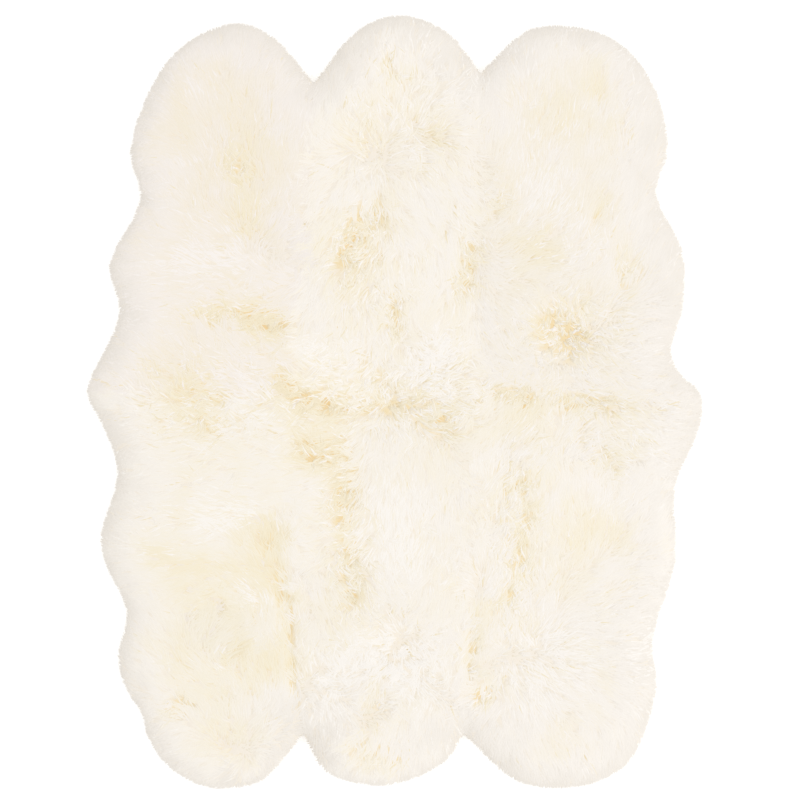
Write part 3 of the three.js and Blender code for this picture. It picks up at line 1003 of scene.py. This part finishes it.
# How much lower the tone lies in aged, ruffled and parted wool, strand by strand and in blotches:
# yellowing where the wool is aged, painted shade of the gaps where it is ruffled or parted.
AGED_TONE = 0.30
RUFFLED_SHADE_TONE = 0.06
PARTED_SHADE_TONE = 0.10
STRAND_SPREAD = 0.7
STRAND_HUMPS = (Humps(0.9, 0.009, 43),)
STRANDS_SMOOTH = 0.02
STRANDS_RUFFLED = 0.10
BLOTCH_SHADE_TONE = 0.40
BLOTCH_HUMPS = (Humps(1.0, 0.0065, 44),)
BLOTCH_FROM = 0.1
WHITEST_TONE = 0.56

# The edge's wool, painted darker and greyer as shade where the rug slopes down, and the paler and the
# amber locks, which are chosen by chance.
RIM_SHADE_REACH = 0.155           # how far in from the edge it goes
RIM_SHADE_POWER = 0.9
RIM_SHADE_TONE = 0.71
RIM_SHADE_HUMPS = (Humps(0.35, 0.022, 45),)
# Pale locks in ruffled wool are painted lighter to offset the shade of its tufts; amber locks there paint
# the shade in the gaps between them.
PALE_TONE = 0.90
PALE_LIT_RUFFLED = 0.70        # share of the ruffled locks that are paler
PALE_FROM = 0.2
AMBER_SHADE_TONE = 0.06
AMBER_SHADE_RUFFLED = 0.18       # share of the ruffled locks that are amber
AMBER_FROM = 0.1
AMBER_LEVEL = 0.7          # more of them are in partings than elsewhere
AMBER_SHADE_PARTED = 1.2


def toned(roots, rng):
    """The tone of each lock, from how the wool is where it grows."""
    ruffled, deep = read(ruffled_map, roots), read(deep_map, roots)
    aged, parted = read(aged_map, roots), np.clip(deep, 0, 1)
    # In ruffled and parted wool the lower tone and the blotches are painted shade of the gaps; in aged
    # wool the lower tone is yellowing.
    tone = WHITE_WOOL.tone - AGED_TONE * aged - RUFFLED_SHADE_TONE * ruffled - PARTED_SHADE_TONE * parted
    strand = STRAND_SPREAD * rng.normal(0, 1, len(roots)) + humps(roots, STRAND_HUMPS)
    tone += strand * (STRANDS_SMOOTH + STRANDS_RUFFLED * ruffled)
    tone -= BLOTCH_SHADE_TONE * ruffled * np.clip(humps(roots, BLOTCH_HUMPS) - BLOTCH_FROM, 0, 1)
    tone = np.minimum(tone, WHITEST_TONE)
    # Painted shade: locks near the edge are drawn towards the darker, greyer rim tone.
    rim_shade = np.clip(1 - read(edge_map, roots) / RIM_SHADE_REACH, 0, 1) ** RIM_SHADE_POWER
    rim_shade = np.clip(rim_shade * (1 + humps(roots, RIM_SHADE_HUMPS)), 0, 1)
    tone += (RIM_SHADE_TONE - tone) * rim_shade
    # Painted light and shade in ruffled wool: paler locks on the tufts, and amber locks in their gaps.
    pale = PALE_LIT_RUFFLED * np.clip(ruffled - PALE_FROM, 0, 1) * np.clip(1 - aged, 0, 1)
    pale += np.clip(-deep, 0, 1)
    tone[rng.uniform(0, 1, len(roots)) < pale] = PALE_TONE
    amber = AMBER_SHADE_RUFFLED * np.clip(ruffled - AMBER_FROM, 0, 1) * (1 - rim_shade)
    amber *= AMBER_LEVEL + AMBER_SHADE_PARTED * parted
    tone[rng.uniform(0, 1, len(roots)) < amber] = AMBER_SHADE_TONE
    return tone


def one_piece(name, points, faces, places):
    """Many triangles as one piece, each corner with its place on the map."""
    mesh = bpy.data.meshes.new(name)
    mesh.vertices.add(len(points))
    mesh.vertices.foreach_set("co", points.ravel().astype(np.float32))
    mesh.loops.add(faces.size)
    mesh.loops.foreach_set("vertex_index", faces.ravel().astype(np.int32))
    mesh.polygons.add(len(faces))
    mesh.polygons.foreach_set("loop_start", np.arange(0, faces.size, 3, dtype=np.int32))
    mesh.polygons.foreach_set("use_smooth", np.zeros(len(faces), bool))
    mesh.update()
    layer = mesh.uv_layers.new(name="OFBake")
    layer.data.foreach_set("uv", places[faces.ravel()].ravel().astype(np.float32))
    return as_piece(mesh)


def fleece(name, kinds, line, rng, material):
    """Locks of some kinds, over all of a pelt, as one piece."""
    points, faces, places = [], [], []
    count = 0
    for kind, lock in kinds.items():
        roots = rooted(kind, lock, line, rng)
        lines, shares = centre_lines(kind, lock, roots, rng)
        width = lock.width * rng.uniform(*SIZES, len(roots))
        made = spindles(lines, shares, width, lock.thick, toned(roots, rng))
        points.append(made[0])
        faces.append(made[1] + count)
        places.append(made[2])
        count += len(made[0])
    piece = one_piece(name, *(np.concatenate(part) for part in (points, faces, places)))
    piece.data.materials.append(material)
    return piece


# A lock's root is darker and yellower than its tip: partly the wool's own yellower base, partly painted
# shade of the deeper layers.
ROOT_TINT_AND_SHADE_ENDS = 0.6                # share of its length at which a lock has its tip's colour


def wool_material(name, white):
    """Wool that takes its colour from a lock's tone, and from how near the tip it is: its root darker and
    yellower, partly the wool's own colour and partly painted shade.
    """
    material, principled = rough_material(name, roughness=0.9, shine=0.0)
    yellow, own, pale = (
        Shade(shade.tone, np.multiply(shade.root, white), np.multiply(shade.tip, white))
        for shade in (YELLOW_WOOL, WHITE_WOOL, PALE_WOOL)
    )
    shades = (AMBER_WOOL, GOLD_WOOL, yellow, own, RIM_SHADE_WOOL, pale)
    root = add_ramp(material, [(shade.tone, shade.root) for shade in shades])
    tip = add_ramp(material, [(shade.tone, shade.tip) for shade in shades])
    places = add_node(material, "ShaderNodeUVMap", uv_map="OFBake")
    split = add_node(material, "ShaderNodeSeparateXYZ")
    grown = add_node(material, "ShaderNodeMapRange", interpolation_type="SMOOTHSTEP")
    grown.inputs["From Max"].default_value = ROOT_TINT_AND_SHADE_ENDS
    blend = add_node(material, "ShaderNodeMix", data_type="RGBA")
    # A mixing node has a pair of ends and a result for each kind of value: these are its colours'.
    blend_root, blend_tip, blended = 6, 7, 2
    link(places, "UV", split, "Vector")
    link(split, "X", root, "Fac")
    link(split, "X", tip, "Fac")
    link(split, "Y", grown, "Value")
    link(grown, "Result", blend, "Factor")
    link(root, "Color", blend, blend_root)
    link(tip, "Color", blend, blend_tip)
    link(blend, blended, principled, "Base Color")
    return material


for number, pelt in enumerate(PELTS):
    rng = np.random.default_rng(WOOL_SEED + number)
    side = pelt.replace("pelt_", "")
    long_wool = wool_material("long wool " + side.replace("_", " "), WHITES_AND_SHADE[side])
    wool = fleece("wool_" + side, COAT, outlines[pelt], rng, long_wool)
    tufts = fleece("tufts_" + side, TUFTS, outlines[pelt], rng, long_wool)
    # Thin wool lets light through, so that its locks hardly shade one another.
    for piece in (wool, tufts):
        piece.visible_diffuse = False
        piece.visible_shadow = False
        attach(piece, "root")
    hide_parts(pelt)
    skin = skins[pelt]


# ---- Floor and light ------------------------------------------------------------------------------
# A plain white floor under a wide even light, as in a studio with white walls, with a little more of
# it from one side.

FLOOR_SIZE = 30
FLOOR_LEVEL = -0.0005
FLOOR_WHITE = (0.98, 0.98, 0.98)

bpy.ops.mesh.primitive_plane_add(size=FLOOR_SIZE, location=(0, 0, FLOOR_LEVEL))
floor = bpy.context.object
floor.name = "floor"
floor_paint, floor_shader = rough_material("floor paint", roughness=0.9, shine=0.0)
floor_shader.inputs["Base Color"].default_value = (*FLOOR_WHITE, 1)
floor.data.materials.append(floor_paint)

WORLD_STRENGTH = 1.012
world = bpy.data.worlds.new("studio")
world.use_nodes = True
world.node_tree.nodes["Background"].inputs["Color"].default_value = (1, 1, 1, 1)
world.node_tree.nodes["Background"].inputs["Strength"].default_value = WORLD_STRENGTH
scene.world = world

LAMP_PLACE = (4.2, -1.2, 6.0)
LAMP_SIZE = 5.0
LAMP_WATTS = 129.5
lamp_data = bpy.data.lights.new("lamp", "AREA")
lamp_data.size = LAMP_SIZE
lamp_data.energy = LAMP_WATTS
lamp = bpy.data.objects.new("lamp", lamp_data)
lamp.location = LAMP_PLACE
lamp.rotation_euler = Vector(LAMP_PLACE).to_track_quat("Z", "Y").to_euler()
scene.collection.objects.link(lamp)

scene.view_settings.view_transform = "Standard"
scene.cycles.max_bounces = 8
scene.cycles.diffuse_bounces = 6

bpy.context.view_layer.update()
